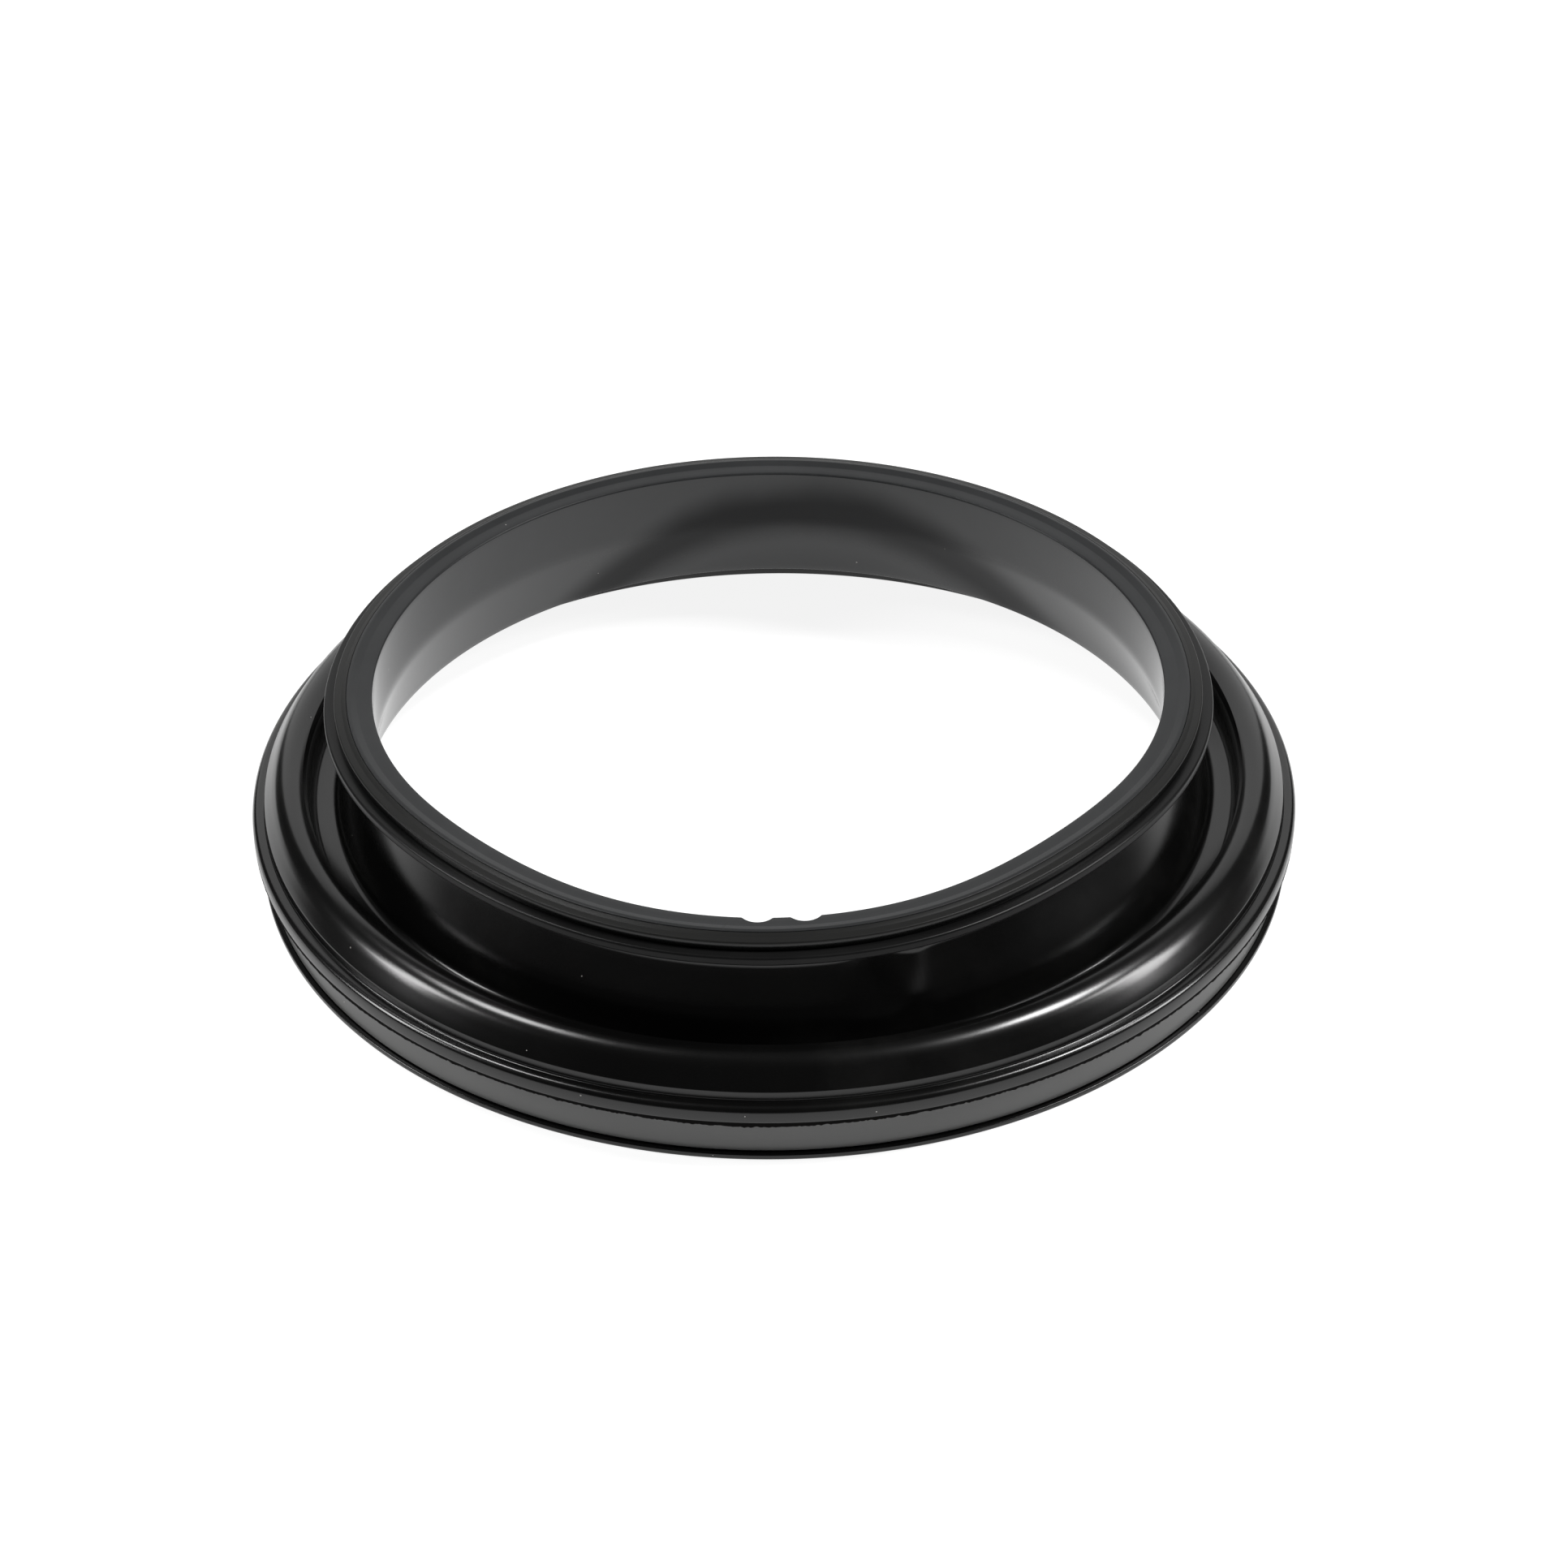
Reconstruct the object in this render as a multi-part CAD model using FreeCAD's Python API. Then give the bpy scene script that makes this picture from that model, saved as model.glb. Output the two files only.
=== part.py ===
import FreeCAD, Part
import math
import os

# Flange seal for a toilet outlet: a rubber boot with an upright neck, one fold and a base rim.
# The origin is on the axis at the underside, +Z points up through the neck. Millimetres.

# --- what goes through the seal ---
spigot_radius = 55.0
spigot_clearance = 0.15

# --- neck liner: stiff sleeve that the spigot enters ---
liner_wall = 0.9
liner_land = 9.0
liner_flare = 3.1
liner_flange_width = 3.6
liner_flange_thickness = 1.2
ridge_width = 0.7
ridge_rise = 0.35
liner_edge_break = 0.3
notch_radius = 2.5
notch_bite = 1.2
notch_depth = 1.0
notch_spacing = 6.4
notch_bearing = -88.5

# --- rubber boot: neck and top lip ---
neck_rise = 17.0
neck_wall = 1.3
neck_foot_wall = 2.1
neck_straight = 6.2
lip_overhang = 3.05
lip_edge = 1.5
lip_root = 1.5
lip_slope = 0.2
lip_round = 0.3

# --- rubber boot: valley, fold, step and rim ---
boot_wall = 2.2
valley_width = 4.3
valley_round = 1.0
fold_width = 5.0
fold_rise = 4.1
fold_lean = 0.7
fold_crown = 0.3
fold_crest_inset = 2.2
fold_edge_drop = 1.7
fold_round = 2.0
fold_crest_round = 3.0
fold_edge_round = 0.7
step_foot_round = 0.4
shoulder_width = 2.8
rim_thickness = 2.4
rim_top_round = 1.8
rim_foot_round = 0.35
foot_lip_height = 0.9
band_rest = 0.1
foot_lip_inset = 1.1
foot_lip_round = 0.35
underside_round = 0.8

# --- neck hoop: flat ring that grips the neck under the lip ---
hoop_height = 1.3
hoop_stand = 4.55
hoop_sink = 0.3
hoop_drop = 1.6
hoop_edge_break = 0.25

# --- base band: ring in the channel between the rim and the foot lip ---
band_height = 5.8
band_wall = 1.6
band_inset = 1.8
band_edge_break = 0.2

# --- rim core: flat stiffening ring moulded into the rim ---
core_thickness = 0.9
core_cover = 1.8
core_width = 2.6

# --- fits ---
liner_fit = 0.1
hoop_fit = 0.1
band_fit = 0.1

# --- radii, from the axis outwards ---
bore_radius = spigot_radius + spigot_clearance
liner_foot_radius = bore_radius + liner_flare
liner_flange_radius = bore_radius + liner_flange_width
neck_inner_top = bore_radius + liner_wall + liner_fit
neck_inner_foot = liner_foot_radius + liner_wall + liner_fit
neck_top_radius = neck_inner_top + neck_wall
neck_foot_radius = neck_inner_foot + neck_foot_wall
hoop_seat_radius = neck_top_radius - hoop_sink - hoop_fit
hoop_radius = neck_top_radius + hoop_stand
lip_radius = max(neck_top_radius + lip_overhang, liner_flange_radius + liner_fit + lip_edge)
fold_inner_radius = neck_foot_radius + valley_width
fold_crest_radius = fold_inner_radius + fold_crest_inset
fold_outer_radius = fold_inner_radius + fold_width
rim_radius = fold_outer_radius + shoulder_width
band_radius = rim_radius - band_inset
band_inner_radius = band_radius - band_wall
foot_lip_radius = rim_radius - foot_lip_inset
skirt_inner_radius = min(fold_outer_radius, band_inner_radius - band_fit) - boot_wall
fold_hollow_radius = min(fold_inner_radius + boot_wall / 2, skirt_inner_radius - 2 * fold_lean)
core_radius = rim_radius - core_cover

# --- heights, from the floor upwards ---
channel_floor = foot_lip_height
channel_roof = channel_floor + band_rest + band_height + 2 * band_fit
shoulder_height = channel_roof + rim_thickness
valley_height = shoulder_height
fold_height = shoulder_height + fold_rise
lip_height = valley_height + neck_rise
liner_face_height = lip_height + lip_slope / 2
ridge_height = liner_face_height + ridge_rise
liner_flange_seat = liner_face_height - liner_flange_thickness
liner_foot_height = valley_height - boot_wall
land_bottom = liner_face_height - liner_land
neck_straight_foot = lip_height - neck_straight
hoop_top = lip_height - hoop_drop
hoop_bottom = hoop_top - hoop_height
core_bottom = channel_roof + (rim_thickness - core_thickness) / 2


def ring(corners):
    """Turns a closed outline about Z. Each corner is (radius, height, rounding).

    A rounding is an arc tangent to both sides, limited by the half of its shorter side.
    """
    points = [FreeCAD.Vector(radius, 0, height) for radius, height, _ in corners]
    count = len(points)
    arrivals = []
    departures = []
    arcs = []
    for index, (_, _, rounding) in enumerate(corners):
        here = points[index]
        back = points[index - 1] - here
        ahead = points[(index + 1) % count] - here
        if rounding == 0:
            arrivals.append(here)
            departures.append(here)
            arcs.append(None)
            continue
        half_angle = back.getAngle(ahead) / 2
        room = min(back.Length, ahead.Length) / 2
        setback = min(rounding / math.tan(half_angle), room)
        radius = setback * math.tan(half_angle)
        to_back = FreeCAD.Vector(back).normalize()
        to_ahead = FreeCAD.Vector(ahead).normalize()
        inwards = (to_back + to_ahead).normalize()
        middle = here + inwards * (radius / math.sin(half_angle) - radius)
        arrivals.append(here + to_back * setback)
        departures.append(here + to_ahead * setback)
        arcs.append(Part.Arc(arrivals[-1], middle, departures[-1]).toShape())
    edges = []
    for index in range(count):
        if arcs[index]:
            edges.append(arcs[index])
        start = departures[index]
        end = arrivals[(index + 1) % count]
        if start.distanceToPoint(end) > 1e-6:
            edges.append(Part.LineSegment(start, end).toShape())
    outline = Part.Face(Part.Wire(edges))
    return outline.revolve(FreeCAD.Vector(0, 0, 0), FreeCAD.Vector(0, 0, 1), 360)


def flat_ring(inner, outer, bottom, top, edge_break=0):
    """A ring of rectangular section, its edges broken by 45 degree flats."""
    if edge_break == 0:
        return ring([(inner, bottom, 0), (outer, bottom, 0), (outer, top, 0), (inner, top, 0)])
    return ring([
        (inner + edge_break, bottom, 0),
        (outer - edge_break, bottom, 0),
        (outer, bottom + edge_break, 0),
        (outer, top - edge_break, 0),
        (outer - edge_break, top, 0),
        (inner + edge_break, top, 0),
        (inner, top - edge_break, 0),
        (inner, bottom + edge_break, 0),
    ])


def make_neck_liner():
    """Sleeve with a straight land, a flare to its foot and a ridged flange.

    Two round notches in the front of the mouth leave a small nib between them.
    """
    sleeve = ring([
        (bore_radius + liner_edge_break, liner_face_height, 0),
        (bore_radius, liner_face_height - liner_edge_break, 0),
        (bore_radius, land_bottom, 0),
        (liner_foot_radius, liner_foot_height, 0),
        (liner_foot_radius + liner_wall, liner_foot_height, 0),
        (bore_radius + liner_wall, land_bottom, 0),
        (bore_radius + liner_wall, liner_flange_seat, 0),
        (liner_flange_radius, liner_flange_seat, 0),
        (liner_flange_radius, liner_face_height, 0),
        (liner_flange_radius - ridge_width / 4, ridge_height, 0),
        (liner_flange_radius - ridge_width * 3 / 4, ridge_height, 0),
        (liner_flange_radius - ridge_width, liner_face_height, 0),
    ])
    notch_floor = liner_face_height - notch_depth
    middle = bore_radius + notch_bite - notch_radius
    swing = math.degrees(notch_spacing / 2 / bore_radius)
    for bearing in (notch_bearing - swing, notch_bearing + swing):
        place = FreeCAD.Vector(middle * math.cos(math.radians(bearing)),
                               middle * math.sin(math.radians(bearing)), notch_floor)
        sleeve = sleeve.cut(Part.makeCylinder(notch_radius, 2 * notch_depth, place))
    return sleeve


def make_rim_core():
    """Flat ring that keeps the rim round and level; the rubber is moulded all round it."""
    inner = core_radius - core_width
    return flat_ring(inner, core_radius, core_bottom, core_bottom + core_thickness)


def make_sealing_boot(rim_core):
    """Rubber moulding: lip, neck, valley, fold, step, shoulder, rim, band channel and foot lip."""
    seat_radius = liner_flange_radius + liner_fit
    seat_height = liner_flange_seat - liner_fit
    under_fold = fold_height - boot_wall
    under_valley = valley_height - boot_wall
    body = ring([
        # top lip, outwards
        (seat_radius, lip_height, 0),
        (lip_radius, lip_height - lip_slope, lip_round),
        (lip_radius, lip_height - lip_edge, lip_round),
        (neck_top_radius, lip_height - lip_root, 0),
        # neck, with the groove that holds the hoop
        (neck_top_radius, hoop_top + hoop_fit, 0),
        (hoop_seat_radius, hoop_top + hoop_fit, 0),
        (hoop_seat_radius, hoop_bottom - hoop_fit, 0),
        (neck_top_radius, hoop_bottom - hoop_fit, 0),
        (neck_top_radius, neck_straight_foot, 0),
        # valley and fold
        (neck_foot_radius, valley_height, valley_round),
        (fold_inner_radius - fold_lean, valley_height, valley_round),
        (fold_inner_radius + fold_lean, fold_height - fold_crown, fold_round),
        (fold_crest_radius, fold_height, fold_crest_round),
        (fold_outer_radius, fold_height - fold_edge_drop, fold_edge_round),
        # step, shoulder and rim
        (fold_outer_radius, shoulder_height, step_foot_round),
        (rim_radius, shoulder_height, rim_top_round),
        (rim_radius, channel_roof, rim_foot_round),
        # channel for the band, foot lip and underside
        (band_inner_radius - band_fit, channel_roof, 0),
        (band_inner_radius - band_fit, channel_floor, 0),
        (foot_lip_radius, channel_floor, foot_lip_round),
        (foot_lip_radius, 0, foot_lip_round),
        (skirt_inner_radius, 0, foot_lip_round),
        (skirt_inner_radius, under_fold, underside_round),
        (fold_hollow_radius + fold_lean, under_fold, underside_round),
        (fold_hollow_radius - fold_lean, under_valley, underside_round),
        (neck_inner_foot, under_valley, 0),
        # inside of the neck and the liner's seat
        (neck_inner_top, land_bottom, 0),
        (neck_inner_top, seat_height, 0),
        (seat_radius, seat_height, 0),
    ])
    return body.cut(rim_core)


def make_neck_hoop():
    """Flat hoop in the groove under the lip."""
    inner = hoop_seat_radius + hoop_fit
    return flat_ring(inner, hoop_radius, hoop_bottom, hoop_top, hoop_edge_break)


def make_base_band():
    """Smooth band round the base, a little inside the rim and clear of the foot lip."""
    bottom = channel_floor + band_rest + band_fit
    top = bottom + band_height
    return flat_ring(band_inner_radius, band_radius, bottom, top, band_edge_break)


def main():
    rim_core = make_rim_core()
    pieces = {
        "sealing_boot": make_sealing_boot(rim_core),
        "neck_liner": make_neck_liner(),
        "neck_hoop": make_neck_hoop(),
        "base_band": make_base_band(),
        "rim_core_ring": rim_core,
    }
    os.makedirs("parts", exist_ok=True)
    for name, shape in pieces.items():
        shape.exportStep("parts/" + name + ".step")
        box = shape.optimalBoundingBox()
        print(name, shape.isValid(), len(shape.Solids), round(shape.Volume), "mm3",
              [round(value, 2) for value in (box.XMin, box.XMax, box.ZMin, box.ZMax)])


main()
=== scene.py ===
import math

import bmesh
import bpy
from mathutils import Matrix, Vector, noise


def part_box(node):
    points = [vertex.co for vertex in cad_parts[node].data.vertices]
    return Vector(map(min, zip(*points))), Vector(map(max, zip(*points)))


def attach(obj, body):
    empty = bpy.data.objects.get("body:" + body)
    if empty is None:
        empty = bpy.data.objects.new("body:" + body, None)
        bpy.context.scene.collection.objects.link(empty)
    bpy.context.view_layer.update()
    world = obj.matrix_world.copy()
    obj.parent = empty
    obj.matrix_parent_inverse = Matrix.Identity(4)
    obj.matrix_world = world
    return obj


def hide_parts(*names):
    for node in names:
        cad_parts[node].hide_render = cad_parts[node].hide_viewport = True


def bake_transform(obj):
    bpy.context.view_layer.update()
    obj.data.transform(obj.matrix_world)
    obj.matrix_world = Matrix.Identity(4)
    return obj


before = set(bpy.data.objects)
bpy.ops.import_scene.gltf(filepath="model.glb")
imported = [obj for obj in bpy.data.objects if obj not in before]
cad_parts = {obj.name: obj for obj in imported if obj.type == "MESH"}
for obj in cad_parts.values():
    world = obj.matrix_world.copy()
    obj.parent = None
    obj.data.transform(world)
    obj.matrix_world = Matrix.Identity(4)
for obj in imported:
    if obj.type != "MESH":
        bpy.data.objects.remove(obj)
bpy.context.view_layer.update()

# Sizes are in metres. MM turns a bench size into metres, and HAIR is as good as touching.
MM = 0.001
HAIR = 0.01 * MM

# --- places read from the frame ---
_, boot_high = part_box("sealing_boot")
liner_low, liner_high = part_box("neck_liner")
hoop_low, hoop_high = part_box("neck_hoop")
band_low, band_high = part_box("base_band")

rim_radius = boot_high[0]
lip_top = boot_high[2]
liner_foot = liner_low[2]
ridge_top = liner_high[2]
hoop_radius = hoop_high[0]
band_radius = band_high[0]
band_foot = band_low[2]
band_top = band_high[2]

# --- fits and walls ---
SEAT_GAP = 0.1 * MM
BOOT_WALL = 2.2 * MM
LINER_WALL = 0.9 * MM
BAND_WALL = 1.6 * MM

# --- boot section, outwards from the neck and upwards from the floor ---
HOOP_SINK = 0.3 * MM
NECK_TOP_RADIUS = hoop_radius - 4.55 * MM
NECK_FOOT_RADIUS = rim_radius - 12.1 * MM
NECK_STRAIGHT = 6.2 * MM
LIP_RADIUS = NECK_TOP_RADIUS + 3.05 * MM
LIP_EDGE = 1.5 * MM
SHOULDER_Z = band_top + 2.5 * MM
VALLEY_Z = SHOULDER_Z
FOLD_INNER = NECK_FOOT_RADIUS + 4.3 * MM
FOLD_LEAN = 0.7 * MM
FOLD_FLANK = FOLD_INNER + 6.0 * MM
FOLD_Z = SHOULDER_Z + 5.1 * MM
CROWN_ARC = 3.4 * MM
FOOT_LIP_RADIUS = rim_radius - 1.1 * MM
SKIRT_INNER = band_radius - BAND_WALL - SEAT_GAP - BOOT_WALL

# --- liner section ---
LINER_FACE_Z = ridge_top - 0.35 * MM
LINER_FOOT_RADIUS = liner_high[0] - LINER_WALL
BORE_RADIUS = LINER_FOOT_RADIUS - 3.1 * MM
LINER_FLANGE = BORE_RADIUS + 3.6 * MM
LINER_FLANGE_FOOT_Z = LINER_FACE_Z - 1.2 * MM
LAND_FOOT_Z = LINER_FACE_Z - 9.0 * MM
NOTCH_RADIUS = 2.5 * MM
NOTCH_MIDDLE = BORE_RADIUS - 1.3 * MM
NOTCH_FLOOR_Z = LINER_FACE_Z - 1.0 * MM
NOTCH_BEARING = math.radians(-88.5)
NOTCH_SWING = 3.2 * MM / BORE_RADIUS

# --- turning ---
TURN_STEPS = 480
CORNER_STEPS = 4
EVEN_ANGLES = [2 * math.pi * step / TURN_STEPS for step in range(TURN_STEPS)]
NOTCH_ANGLES = sorted([angle - 2 * math.pi for angle in EVEN_ANGLES if angle > math.radians(279)]
                      + [angle for angle in EVEN_ANGLES if angle < math.radians(264)]
                      + [math.radians(-96 + 0.12 * step) for step in range(126)])

# --- how the soft neck sits ---
NECK_SQUEEZE = 0.012
NECK_SHIFT = -0.6 * MM
PULL_LEFT = 1.7 * MM
PULL_RIGHT = 2.1 * MM
PULL_BEARING = 46.0
PULL_SPREAD = 23.0
CREASE_ANGLE = math.radians(-90 + 14.0)
CREASE_FOOT_Z = 12 * MM
CREASE_HEAD_Z = 20 * MM
CREASE_LEAN = 0.10
DENT_DEPTH = 1.3 * MM
DENT_WIDTH = 3.4 * MM
PINCH_DEPTH = 0.30 * MM
PINCH_WIDTH = 0.35 * MM
SWELL_HEIGHT = 0.8 * MM
SWELL_ASIDE = 4.6 * MM
SWELL_WIDTH = 2.2 * MM
SWAY_DEPTH = 0.10 * MM
SWAY_FULL_Z = 14 * MM

# --- torn flash under the rim, kept dark and dull so that it also serves as a painted shadow below the rim's edge ---
FLASH_AND_SHADOW_STEPS = 1800
FLASH_AND_SHADOW_LEAST = 0.08
FLASH_AND_SHADOW_MOST = 0.75


# ----------------------------------------------------------------------------------------------
# Section outlines and turning
# ----------------------------------------------------------------------------------------------

def rounded(corners, steps=CORNER_STEPS):
    """Points round a closed outline. A corner is (radius, height, rounding)."""
    count = len(corners)
    outline = []
    for index, (radius, height, rounding) in enumerate(corners):
        here = Vector((radius, height))
        if rounding == 0:
            outline.append(here)
            continue
        back = Vector(corners[index - 1][:2]) - here
        ahead = Vector(corners[(index + 1) % count][:2]) - here
        half = back.angle(ahead) / 2
        room = min(back.length, ahead.length) * 0.49
        setback = min(rounding / math.tan(half), room)
        arc = setback * math.tan(half)
        middle = here + (back.normalized() + ahead.normalized()).normalized() * (arc / math.sin(half))
        start = here + back.normalized() * setback - middle
        end = here + ahead.normalized() * setback - middle
        first = math.atan2(start.y, start.x)
        turn = (math.atan2(end.y, end.x) - first + math.pi) % (2 * math.pi) - math.pi
        for step in range(steps + 1):
            angle = first + turn * step / steps
            outline.append(middle + Vector((math.cos(angle), math.sin(angle))) * arc)
    return outline


def crown(radius, top, arc, first, last):
    """Corners along an arc whose highest point is at (radius, top); its slopes are in degrees."""
    slopes = [math.radians(first + (last - first) * step / 12) for step in range(13)]
    return [(radius + arc * math.sin(slope), top - arc + arc * math.cos(slope), 0) for slope in slopes]


def closer(outline, longest):
    """Adds points along an outline's long straight runs."""
    result = []
    for index, here in enumerate(outline):
        ahead = outline[(index + 1) % len(outline)]
        parts = max(1, math.ceil((ahead - here).length / longest))
        for part in range(parts):
            result.append(here.lerp(ahead, part / parts))
    return result


def smooth(value, low, high):
    """0 below low, 1 above high, and an even ease between them."""
    share = min(1.0, max(0.0, (value - low) / (high - low)))
    return share * share * (3 - 2 * share)


def turned(name, outline, shaping=None, angles=EVEN_ANGLES):
    """A piece turned about Z from a closed outline; shaping may move each point afterwards."""
    points = []
    steps = len(angles)
    for angle in angles:
        for radius, height in outline:
            point = Vector((radius * math.cos(angle), radius * math.sin(angle), height))
            points.append(shaping(point, angle) if shaping else point)
    count = len(outline)
    faces = []
    for step in range(steps):
        here = step * count
        there = ((step + 1) % steps) * count
        for index in range(count):
            follow = (index + 1) % count
            faces.append((here + index, there + index, there + follow, here + follow))
    mesh = bpy.data.meshes.new(name)
    mesh.from_pydata(points, [], faces)
    tidy = bmesh.new()
    tidy.from_mesh(mesh)
    bmesh.ops.recalc_face_normals(tidy, faces=tidy.faces)
    tidy.to_mesh(mesh)
    tidy.free()
    mesh.shade_smooth()
    mesh.set_sharp_from_angle(angle=math.radians(38))
    piece = bpy.data.objects.new(name, mesh)
    bpy.context.collection.objects.link(piece)
    return piece


# ----------------------------------------------------------------------------------------------
# Shaping of the soft neck
# ----------------------------------------------------------------------------------------------

def settled(point, angle):
    """The soft mouth is a little pointed at the front and shifted; its foot stays true."""
    share = smooth(point.z, VALLEY_Z, lip_top)
    from_front = math.degrees((angle + math.pi / 2 + math.pi) % (2 * math.pi) - math.pi)
    depth = PULL_RIGHT if from_front > 0 else PULL_LEFT
    pull = depth * math.exp(-((abs(from_front) - PULL_BEARING) / PULL_SPREAD) ** 2)
    radius = math.hypot(point.x, point.y)
    inwards = 1 - share * pull / radius
    moved = Vector((point.x * inwards, point.y * inwards, point.z))
    moved.y *= 1 - NECK_SQUEEZE * share
    moved.x += NECK_SHIFT * share
    return moved


def liner_shape(point, angle):
    """Settling, with the two round notches that leave a nib at the front of the mouth."""
    radius = math.hypot(point.x, point.y)
    if point.z > NOTCH_FLOOR_Z and radius < NOTCH_MIDDLE + NOTCH_RADIUS:
        for bearing in (NOTCH_BEARING - NOTCH_SWING, NOTCH_BEARING + NOTCH_SWING):
            aside = NOTCH_MIDDLE * math.sin(angle - bearing)
            if abs(aside) < NOTCH_RADIUS and math.cos(angle - bearing) > 0:
                half_chord = math.sqrt(NOTCH_RADIUS ** 2 - aside ** 2)
                reach = NOTCH_MIDDLE * math.cos(angle - bearing) + half_chord
                if reach > radius:
                    point = Vector((reach * math.cos(angle), reach * math.sin(angle), point.z))
                    radius = reach
    return settled(point, angle)


def boot_shape(point, angle):
    """Settling, with the buckle in the front of the neck."""
    outwards = Vector((math.cos(angle), math.sin(angle), 0))
    radius = math.hypot(point.x, point.y)
    moved = settled(point, angle)
    below_hoop = hoop_low[2] - SEAT_GAP
    on_neck = NECK_TOP_RADIUS - SEAT_GAP < radius < NECK_FOOT_RADIUS
    if on_neck and VALLEY_Z < point.z < below_hoop + HAIR:
        along = (angle - CREASE_ANGLE + math.pi) % (2 * math.pi) - math.pi
        aside = along * NECK_TOP_RADIUS + (below_hoop - point.z) * CREASE_LEAN
        share = smooth(point.z, CREASE_FOOT_Z, CREASE_HEAD_Z)
        dent = DENT_DEPTH * math.exp(-(aside / DENT_WIDTH) ** 2)
        pinch = PINCH_DEPTH * math.exp(-abs(aside) / PINCH_WIDTH)
        swell = SWELL_HEIGHT * math.exp(-((aside - SWELL_ASIDE) / SWELL_WIDTH) ** 2)
        sway = noise.noise(Vector((outwards.x * 2.2, outwards.y * 2.2, point.z * 30)))
        moved -= outwards * ((dent + pinch - swell) * share)
        moved += outwards * (SWAY_DEPTH * sway * smooth(point.z, VALLEY_Z, SWAY_FULL_Z))
    return moved


# ----------------------------------------------------------------------------------------------
# Materials
# ----------------------------------------------------------------------------------------------

def new_group(name, inputs, outputs):
    """A shader node group with named sockets; returns the tree and its input and output nodes."""
    tree = bpy.data.node_groups.new(name, "ShaderNodeTree")
    for label, value in inputs.items():
        socket = tree.interface.new_socket(name=label, in_out="INPUT", socket_type="NodeSocketFloat")
        socket.default_value = value
    for label, kind in outputs.items():
        tree.interface.new_socket(name=label, in_out="OUTPUT", socket_type=kind)
    entry = tree.nodes.new("NodeGroupInput")
    leave = tree.nodes.new("NodeGroupOutput")
    return tree, entry, leave


def math_node(tree, operation, first, second=None, clamp=False):
    """A Math node; each operand is a number or a socket."""
    node = tree.nodes.new("ShaderNodeMath")
    node.operation = operation
    node.use_clamp = clamp
    for socket, operand in zip(node.inputs, (first, second)):
        if operand is None:
            continue
        if isinstance(operand, (int, float)):
            socket.default_value = operand
        else:
            tree.links.new(operand, socket)
    return node.outputs[0]


def noise_node(tree, vector, scale, detail=3.0, roughness=0.5):
    node = tree.nodes.new("ShaderNodeTexNoise")
    node.inputs["Detail"].default_value = detail
    node.inputs["Roughness"].default_value = roughness
    if isinstance(scale, (int, float)):
        node.inputs["Scale"].default_value = scale
    else:
        tree.links.new(scale, node.inputs["Scale"])
    tree.links.new(vector, node.inputs["Vector"])
    return node.outputs["Fac"]


def make_skin_group():
    """Moulded skin: fine grain, slow unevenness and a cloudy change of gloss."""
    inputs = {"Grain Scale": 2600.0, "Grain": 0.5, "Unevenness": 0.3, "Cloud": 0.06, "Roughness": 0.35}
    outputs = {"Height": "NodeSocketFloat", "Roughness": "NodeSocketFloat", "Cloud": "NodeSocketFloat"}
    tree, entry, leave = new_group("moulded_skin", inputs, outputs)
    place = tree.nodes.new("ShaderNodeTexCoord").outputs["Object"]
    grain = noise_node(tree, place, entry.outputs["Grain Scale"], 2.0)
    slow = noise_node(tree, place, 160.0, 4.0)
    cloud = noise_node(tree, place, 55.0, 5.0, 0.6)
    fine = math_node(tree, "MULTIPLY", grain, entry.outputs["Grain"])
    wide = math_node(tree, "MULTIPLY", slow, entry.outputs["Unevenness"])
    tree.links.new(math_node(tree, "ADD", fine, wide), leave.inputs["Height"])
    centred = math_node(tree, "SUBTRACT", cloud, 0.5)
    swing = math_node(tree, "MULTIPLY", centred, entry.outputs["Cloud"])
    rough = math_node(tree, "ADD", entry.outputs["Roughness"], swing, clamp=True)
    tree.links.new(rough, leave.inputs["Roughness"])
    tree.links.new(cloud, leave.inputs["Cloud"])
    return tree


def make_dust_group():
    """Sparse pale specks of lint and a faint film that gathers in patches."""
    inputs = {"Speck Scale": 700.0, "Specks": 0.06, "Film": 0.3}
    tree, entry, leave = new_group("settled_dust", inputs, {"Mask": "NodeSocketFloat"})
    place = tree.nodes.new("ShaderNodeTexCoord").outputs["Object"]
    cells = tree.nodes.new("ShaderNodeTexVoronoi")
    tree.links.new(place, cells.inputs["Vector"])
    tree.links.new(entry.outputs["Speck Scale"], cells.inputs["Scale"])
    near = math_node(tree, "LESS_THAN", cells.outputs["Distance"], 0.07)
    pick = tree.nodes.new("ShaderNodeSeparateColor")
    tree.links.new(cells.outputs["Color"], pick.inputs["Color"])
    chosen = math_node(tree, "LESS_THAN", pick.outputs[0], entry.outputs["Specks"])
    specks = math_node(tree, "MULTIPLY", near, chosen)
    patch = noise_node(tree, place, 38.0, 6.0, 0.65)
    thin = math_node(tree, "SUBTRACT", patch, 0.52, clamp=True)
    film = math_node(tree, "MULTIPLY", thin, entry.outputs["Film"])
    tree.links.new(math_node(tree, "ADD", specks, film, clamp=True), leave.inputs["Mask"])
    return tree


SKIN = make_skin_group()
DUST = make_dust_group()
DUST_COLOUR = (0.42, 0.41, 0.39)
RELIEF = 0.05 * MM

# How strongly a plain surface shines, and how much of that a dull region loses.
PLAIN_SHINE = 0.5
SHINE_LOSS = 0.36


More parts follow.
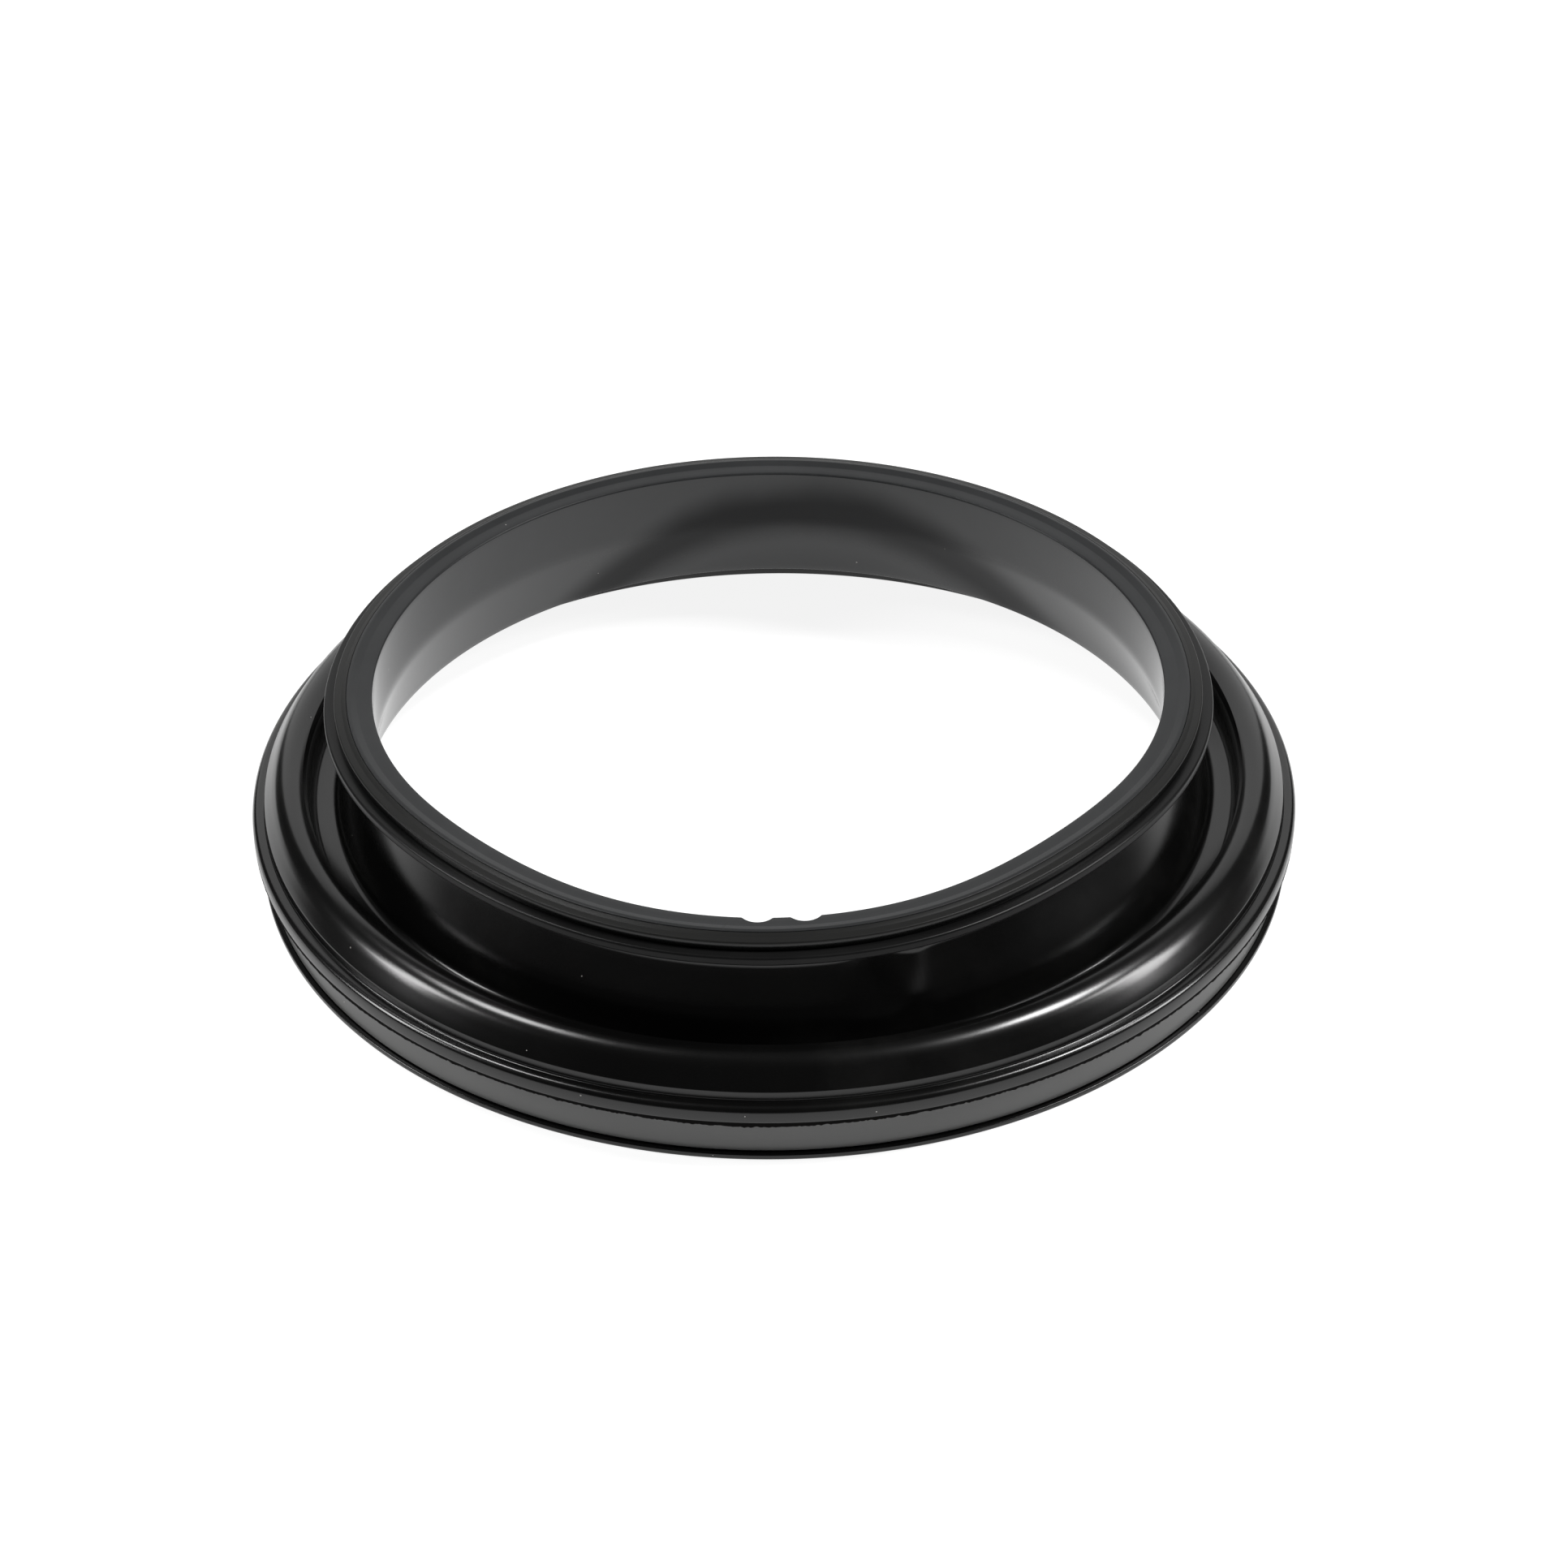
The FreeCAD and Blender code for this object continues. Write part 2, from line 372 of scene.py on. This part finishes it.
def finish(name, dark, pale, roughness, skin, dust, shine=PLAIN_SHINE):
    """A moulded finish: dark to pale colour by cloud, dust on top, gloss and grain by the groups."""
    material = bpy.data.materials.new(name)
    material.use_nodes = True
    tree = material.node_tree
    shader = tree.nodes["Principled BSDF"]
    shader.inputs["Specular IOR Level"].default_value = shine
    skin_node = tree.nodes.new("ShaderNodeGroup")
    skin_node.node_tree = SKIN
    skin_node.inputs["Roughness"].default_value = roughness
    for label, value in skin.items():
        skin_node.inputs[label].default_value = value
    dust_node = tree.nodes.new("ShaderNodeGroup")
    dust_node.node_tree = DUST
    for label, value in dust.items():
        dust_node.inputs[label].default_value = value
    tone = tree.nodes.new("ShaderNodeMix")
    tone.data_type = "RGBA"
    tone.inputs["A"].default_value = (*dark, 1)
    tone.inputs["B"].default_value = (*pale, 1)
    tree.links.new(skin_node.outputs["Cloud"], tone.inputs["Factor"])
    dusty = tree.nodes.new("ShaderNodeMix")
    dusty.data_type = "RGBA"
    dusty.inputs["B"].default_value = (*DUST_COLOUR, 1)
    tree.links.new(tone.outputs["Result"], dusty.inputs["A"])
    tree.links.new(dust_node.outputs["Mask"], dusty.inputs["Factor"])
    tree.links.new(dusty.outputs["Result"], shader.inputs["Base Color"])
    tree.links.new(skin_node.outputs["Roughness"], shader.inputs["Roughness"])
    relief = tree.nodes.new("ShaderNodeBump")
    relief.inputs["Strength"].default_value = 0.05
    relief.inputs["Distance"].default_value = RELIEF
    tree.links.new(skin_node.outputs["Height"], relief.inputs["Height"])
    tree.links.new(relief.outputs["Normal"], shader.inputs["Normal"])
    return material


def ramp(tree, value, low, high):
    """0 at low and 1 at high, eased; low may be the larger."""
    node = tree.nodes.new("ShaderNodeMapRange")
    node.interpolation_type = "SMOOTHSTEP"
    node.inputs["From Min"].default_value = low
    node.inputs["From Max"].default_value = high
    tree.links.new(value, node.inputs["Value"])
    return node.outputs["Result"]


def recolour(material, mask, colour):
    """Lays a colour over a finish's own where mask is 1."""
    tree = material.node_tree
    base = tree.nodes["Principled BSDF"].inputs["Base Color"]
    layer = tree.nodes.new("ShaderNodeMix")
    layer.data_type = "RGBA"
    layer.inputs["B"].default_value = (*colour, 1)
    tree.links.new(mask, layer.inputs["Factor"])
    tree.links.new(base.links[0].from_socket, layer.inputs["A"])
    tree.links.new(layer.outputs["Result"], base)


def roughen(material, mask, more):
    """Makes a finish rougher by more where mask is 1."""
    tree = material.node_tree
    rough = tree.nodes["Principled BSDF"].inputs["Roughness"]
    extra = math_node(tree, "MULTIPLY", mask, more)
    tree.links.new(math_node(tree, "ADD", rough.links[0].from_socket, extra, clamp=True), rough)


def deaden(material, dull):
    """Takes most of a finish's shine away where dull is 1."""
    tree = material.node_tree
    loss = math_node(tree, "MULTIPLY", dull, SHINE_LOSS)
    left = math_node(tree, "SUBTRACT", PLAIN_SHINE, loss, clamp=True)
    tree.links.new(left, tree.nodes["Principled BSDF"].inputs["Specular IOR Level"])


def add_liner_regions(material):
    """A matt top face above the glossy sleeve, and a painted dark reflection: a darker, duller arch
    high on the back of the bore, opposite the notches.
    """
    tree = material.node_tree
    place = tree.nodes.new("ShaderNodeTexCoord").outputs["Object"]
    parts = tree.nodes.new("ShaderNodeSeparateXYZ")
    tree.links.new(place, parts.inputs["Vector"])
    across, along, height = parts.outputs
    above = ramp(tree, height, LINER_FACE_Z - 0.35 * MM, LINER_FACE_Z - 0.1 * MM)
    # Mask of the painted dark reflection: an arch-shaped band high on the back of the bore.
    sideways = math_node(tree, "SUBTRACT", across, 0.006)
    curve = math_node(tree, "MULTIPLY", math_node(tree, "MULTIPLY", sideways, sideways), 12.0)
    arch = math_node(tree, "ADD", math_node(tree, "SUBTRACT", height, 0.0215), curve)
    wander = math_node(tree, "MULTIPLY", noise_node(tree, place, 60.0, 3.0), 0.003)
    swung = math_node(tree, "ADD", arch, wander)
    near = ramp(tree, math_node(tree, "ABSOLUTE", swung), 0.0075, 0.001)
    behind = ramp(tree, along, 0.025, 0.045)
    painted_dark_reflection = math_node(tree, "MULTIPLY", math_node(tree, "MULTIPLY", near, behind), 0.85)
    roughen(material, above, 0.24)
    # Painted dark reflection: darker colour and less shine in the arch on the back of the bore; the
    # matt top face only loses shine.
    recolour(material, painted_dark_reflection, (0.003, 0.003, 0.0035))
    deaden(material, math_node(tree, "ADD", painted_dark_reflection, above))


def add_lip_bloom(material):
    """The lip's top is matt and greyer than the rest of the rubber."""
    tree = material.node_tree
    parts = tree.nodes.new("ShaderNodeSeparateXYZ")
    tree.links.new(tree.nodes.new("ShaderNodeTexCoord").outputs["Object"], parts.inputs["Vector"])
    above = ramp(tree, parts.outputs["Z"], lip_top - 0.7 * MM, lip_top - 0.25 * MM)
    roughen(material, above, 0.16)
    recolour(material, above, (0.013, 0.013, 0.0125))
    deaden(material, above)


boot_rubber = finish(
    "boot_rubber", (0.0012, 0.0012, 0.0012), (0.0028, 0.0028, 0.0027), 0.21,
    {"Grain": 0.4, "Unevenness": 0.6, "Cloud": 0.1}, {"Specks": 0.03, "Film": 0.05})
add_lip_bloom(boot_rubber)
# Rubber for the flash. It is partly the real torn flash and partly a painted shadow: matt and barely
# shining, so it reads as the dark line under the rim.
flash_and_shadow_rubber = finish(
    "flash_and_shadow_rubber", (0.002, 0.002, 0.002), (0.006, 0.0055, 0.005), 0.85,
    {"Grain": 1.0, "Unevenness": 0.4, "Cloud": 0.1}, {"Specks": 0.0, "Film": 0.02}, 0.06)
liner_plastic = finish(
    "liner_plastic", (0.017, 0.0175, 0.018), (0.032, 0.033, 0.034), 0.12,
    {"Grain": 0.15, "Unevenness": 0.8, "Cloud": 0.06}, {"Specks": 0.02, "Film": 0.03})
add_liner_regions(liner_plastic)
band_plastic = finish(
    "band_plastic", (0.084, 0.085, 0.084), (0.112, 0.113, 0.111), 0.36,
    {"Grain": 0.6, "Unevenness": 0.4, "Cloud": 0.12}, {"Specks": 0.05, "Film": 0.08})
hoop_plastic = finish(
    "hoop_plastic", (0.005, 0.005, 0.005), (0.009, 0.009, 0.009), 0.3,
    {"Grain": 0.3, "Unevenness": 0.5, "Cloud": 0.1}, {"Specks": 0.02, "Film": 0.02}, 0.16)


# ----------------------------------------------------------------------------------------------
# Pieces
# ----------------------------------------------------------------------------------------------

def make_boot():
    """The rubber moulding, from the lip down the neck, over the fold to the foot and back inside."""
    seat_radius = LINER_FLANGE + 0.02 * MM
    seat_z = LINER_FLANGE_FOOT_Z - SEAT_GAP
    neck_inner = BORE_RADIUS + LINER_WALL + SEAT_GAP
    neck_inner_foot = LINER_FOOT_RADIUS + LINER_WALL + SEAT_GAP
    hoop_seat = NECK_TOP_RADIUS - HOOP_SINK - SEAT_GAP
    hoop_roof = hoop_high[2] + SEAT_GAP
    hoop_floor = hoop_low[2] - SEAT_GAP
    under_fold = FOLD_Z - BOOT_WALL
    under_valley = VALLEY_Z - BOOT_WALL
    channel_floor = band_foot - 2 * SEAT_GAP
    channel_roof = band_top + SEAT_GAP
    channel_radius = band_radius - BAND_WALL - SEAT_GAP
    hollow = FOLD_INNER + BOOT_WALL / 2
    corners = [
        # lip, with its inner edge raised to the liner's ridge
        (seat_radius, lip_top + 0.32 * MM, 0.1 * MM),
        (seat_radius + 0.7 * MM, lip_top - 0.02 * MM, 0.6 * MM),
        (LIP_RADIUS, lip_top - 0.2 * MM, 0.25 * MM),
        (LIP_RADIUS, lip_top - LIP_EDGE, 0.2 * MM),
        (NECK_TOP_RADIUS, lip_top - LIP_EDGE - 0.02 * MM, 0),
        # the hoop's groove, and the neck
        (NECK_TOP_RADIUS, hoop_roof, 0),
        (hoop_seat, hoop_roof, 0),
        (hoop_seat, hoop_floor, 0),
        (NECK_TOP_RADIUS, hoop_floor, 0.08 * MM),
        (NECK_TOP_RADIUS, lip_top - NECK_STRAIGHT, 2.0 * MM),
        (NECK_FOOT_RADIUS, VALLEY_Z, 1.6 * MM),
        # valley and fold
        (FOLD_INNER - FOLD_LEAN, VALLEY_Z, 0.9 * MM),
        (FOLD_INNER - 0.1 * MM, FOLD_Z - 1.2 * MM, 0.5 * MM),
        *crown(FOLD_INNER + 1.8 * MM, FOLD_Z, CROWN_ARC, -26, 50),
        (FOLD_FLANK, SHOULDER_Z + 1.4 * MM, 0.4 * MM),
        # shoulder, rim, the band's channel and the foot lip
        (FOLD_FLANK, SHOULDER_Z, 0.3 * MM),
        (rim_radius, SHOULDER_Z, 1.8 * MM),
        (rim_radius, channel_roof, 0.35 * MM),
        (channel_radius, channel_roof, 0),
        (channel_radius, channel_floor, 0),
        (FOOT_LIP_RADIUS, channel_floor, 0.15 * MM),
        (FOOT_LIP_RADIUS, 0, 0.35 * MM),
        # underside, and the neck's inside
        (SKIRT_INNER, 0, 0.35 * MM),
        (SKIRT_INNER, under_fold, 0.8 * MM),
        (hollow + FOLD_LEAN, under_fold, 0.8 * MM),
        (hollow - FOLD_LEAN, under_valley, 0.8 * MM),
        (neck_inner_foot, under_valley, 0.35 * MM),
        (neck_inner, LAND_FOOT_Z, 0),
        (neck_inner, seat_z, 0),
        (seat_radius, seat_z, 0),
    ]
    piece = turned("boot_skin", closer(rounded(corners), 1.2 * MM), boot_shape)
    piece.data.materials.append(boot_rubber)
    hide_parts("sealing_boot")
    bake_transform(piece)
    return piece


def flash_and_shadow_depth(angle):
    """How far the torn moulding flash, which also serves as the painted shadow line, hangs below the
    rim's edge at a bearing.
    """
    place = Vector((math.cos(angle), math.sin(angle), 0))
    tears = noise.noise(place * 95) * 0.5 + noise.noise(place * 240) * 0.5
    long_swing = noise.noise(place * 3.1 + Vector((0, 0, 7)))
    from_front = math.degrees((angle + math.pi / 2 + math.pi) % (2 * math.pi) - math.pi)
    front_patch = math.exp(-((from_front + 2) / 9) ** 2)
    depth = 0.30 + 0.16 * long_swing + 0.30 * tears + 0.22 * front_patch
    return MM * min(FLASH_AND_SHADOW_MOST, max(FLASH_AND_SHADOW_LEAST, depth))


def make_flash_and_shadow():
    """The thin skin of rubber that the mould's parting line leaves along the rim's lower edge, made
    dark and matt so that it is also a painted shadow line under the rim.
    """
    edge_z = band_top + SEAT_GAP
    outline = [
        (rim_radius - 0.04 * MM, edge_z + 0.30 * MM),
        (rim_radius - 0.05 * MM, edge_z),
        (rim_radius - 0.12 * MM, edge_z - 0.05 * MM),
        (rim_radius - 0.22 * MM, edge_z),
        (rim_radius - 0.30 * MM, edge_z + 0.30 * MM),
    ]

    def torn(point, angle):
        if point.z < edge_z + HAIR:
            point.z -= flash_and_shadow_depth(angle)
        return point

    angles = [2 * math.pi * step / FLASH_AND_SHADOW_STEPS for step in range(FLASH_AND_SHADOW_STEPS)]
    piece = turned("rim_flash_and_shadow", [Vector(corner) for corner in outline], torn, angles)
    piece.data.materials.append(flash_and_shadow_rubber)
    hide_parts("sealing_boot")
    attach(piece, "base")
    return piece


def make_liner():
    """The stiff sleeve. Its face rises gently to the ridge beside the rubber lip."""
    corners = [
        (BORE_RADIUS, LINER_FACE_Z, 0.3 * MM),
        (BORE_RADIUS, NOTCH_FLOOR_Z + HAIR, 0),
        (BORE_RADIUS, NOTCH_FLOOR_Z - HAIR, 0),
        (BORE_RADIUS, LAND_FOOT_Z, 8 * MM),
        (LINER_FOOT_RADIUS, liner_foot, 0.2 * MM),
        (LINER_FOOT_RADIUS + LINER_WALL, liner_foot, 0.2 * MM),
        (BORE_RADIUS + LINER_WALL, LAND_FOOT_Z, 8 * MM),
        (BORE_RADIUS + LINER_WALL, LINER_FLANGE_FOOT_Z, 0),
        (LINER_FLANGE, LINER_FLANGE_FOOT_Z, 0),
        (LINER_FLANGE, ridge_top - 0.12 * MM, 0.1 * MM),
        (LINER_FLANGE - 0.45 * MM, ridge_top, 0.5 * MM),
        (LINER_FLANGE - 1.5 * MM, LINER_FACE_Z, 0.6 * MM),
    ]
    piece = turned("liner_sleeve", closer(rounded(corners), 1.0 * MM), liner_shape, NOTCH_ANGLES)
    piece.data.materials.append(liner_plastic)
    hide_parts("neck_liner")
    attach(piece, "neck")
    return piece


def make_hoop():
    """The flat ring that grips the neck under the lip."""
    inner = NECK_TOP_RADIUS - HOOP_SINK
    corners = [
        (inner, hoop_low[2], 0.25 * MM),
        (hoop_radius, hoop_low[2], 0.35 * MM),
        (hoop_radius, hoop_high[2], 0.35 * MM),
        (inner, hoop_high[2], 0.25 * MM),
    ]
    piece = turned("hoop_ring", rounded(corners, 6), settled)
    piece.data.materials.append(hoop_plastic)
    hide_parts("neck_hoop")
    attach(piece, "neck")
    return piece


def make_band():
    """The satin band round the base."""
    inner = band_radius - BAND_WALL
    corners = [
        (inner, band_foot, 0.25 * MM),
        (band_radius, band_foot, 0.12 * MM),
        (band_radius, band_top, 0.25 * MM),
        (inner, band_top, 0.25 * MM),
    ]
    piece = turned("band_ring", closer(rounded(corners), 1.0 * MM))
    piece.data.materials.append(band_plastic)
    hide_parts("base_band")
    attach(piece, "base")
    return piece


make_boot()
make_flash_and_shadow()
make_liner()
make_hoop()
make_band()


# ----------------------------------------------------------------------------------------------
# Floor, light and camera
# ----------------------------------------------------------------------------------------------

TABLE_GLOW = 0.78
TABLE_SEEN = 0.88
TABLE_BRIGHT_TO = 0.17
TABLE_DARK_FROM = 0.50
ROOM_GLOW = 0.04
ROOM_SEEN = 0.92


def make_floor():
    """A pale lit table. It looks evenly pale, but the light that it gives back fades outwards."""
    mesh = bpy.data.meshes.new("floor")
    side = 3.0
    corners = [(-side, -side, 0), (side, -side, 0), (side, side, 0), (-side, side, 0)]
    mesh.from_pydata(corners, [], [(0, 1, 2, 3)])
    floor = bpy.data.objects.new("floor", mesh)
    bpy.context.collection.objects.link(floor)
    material = bpy.data.materials.new("pale_floor")
    material.use_nodes = True
    tree = material.node_tree
    shader = tree.nodes["Principled BSDF"]
    shader.inputs["Base Color"].default_value = (0.3, 0.3, 0.3, 1)
    shader.inputs["Roughness"].default_value = 1
    shader.inputs["Specular IOR Level"].default_value = 0
    shader.inputs["Emission Color"].default_value = (1, 1, 1, 1)
    reach = tree.nodes.new("ShaderNodeVectorMath")
    reach.operation = "LENGTH"
    tree.links.new(tree.nodes.new("ShaderNodeTexCoord").outputs["Object"], reach.inputs[0])
    table = ramp(tree, reach.outputs["Value"], TABLE_DARK_FROM, TABLE_BRIGHT_TO)
    seen = tree.nodes.new("ShaderNodeLightPath").outputs["Is Camera Ray"]
    lit = math_node(tree, "MULTIPLY", table, TABLE_GLOW)
    glow = math_node(tree, "MAXIMUM", lit, math_node(tree, "MULTIPLY", seen, TABLE_SEEN))
    tree.links.new(glow, shader.inputs["Emission Strength"])
    mesh.materials.append(material)


# Each lamp: its name, place, size and power in watts. All of them face the object.
LAMPS = [
    ("left_box", (-0.57, 0.26, 1.18), (0.28, 0.28), 5.0),
    ("right_box", (0.69, 0.05, 1.15), (0.28, 0.28), 10.0),
    ("left_side", (-1.15, -0.05, 0.72), (0.30, 0.50), 8.0),
    ("right_side", (1.15, -0.05, 0.72), (0.30, 0.50), 8.5),
    ("back_sweep", (0, 1.6, 0.75), (2.2, 1.5), 10.0),
]


def soft_light(name, place, size, power):
    """A rectangular area lamp at place, facing the origin."""
    lamp = bpy.data.lights.new(name, "AREA")
    lamp.shape = "RECTANGLE"
    lamp.size, lamp.size_y = size
    lamp.energy = power
    holder = bpy.data.objects.new(name, lamp)
    bpy.context.collection.objects.link(holder)
    holder.location = place
    holder.rotation_euler = (-Vector(place)).to_track_quat("-Z", "Y").to_euler()


def make_light():
    """Soft lamps in a dim room whose walls look pale behind the table."""
    world = bpy.data.worlds.new("studio")
    bpy.context.scene.world = world
    world.use_nodes = True
    tree = world.node_tree
    background = tree.nodes["Background"]
    background.inputs["Color"].default_value = (1, 1, 1, 1)
    seen = tree.nodes.new("ShaderNodeLightPath").outputs["Is Camera Ray"]
    pale = math_node(tree, "MULTIPLY", seen, ROOM_SEEN)
    tree.links.new(math_node(tree, "ADD", pale, ROOM_GLOW), background.inputs["Strength"])
    for lamp in LAMPS:
        soft_light(*lamp)


def make_camera():
    """Long lens from the front, 36 degrees up, at ten rim radii."""
    elevation = math.radians(36.08)
    roll = math.radians(-0.70)
    distance = 10 * rim_radius
    camera = bpy.data.cameras.new("camera")
    camera.sensor_width = 36
    camera.lens = 36 * 3.2919
    camera.shift_x = 0.0062
    camera.shift_y = 0.0327
    camera.clip_start = 0.01
    holder = bpy.data.objects.new("camera", camera)
    bpy.context.collection.objects.link(holder)
    place = Vector((0, -distance * math.cos(elevation), distance * math.sin(elevation)))
    look = Matrix.Rotation(math.pi / 2 - elevation, 4, "X") @ Matrix.Rotation(roll, 4, "Z")
    holder.matrix_world = Matrix.Translation(place) @ look
    bpy.context.scene.camera = holder


make_floor()
make_light()
make_camera()
bpy.context.scene.view_settings.view_transform = "Standard"
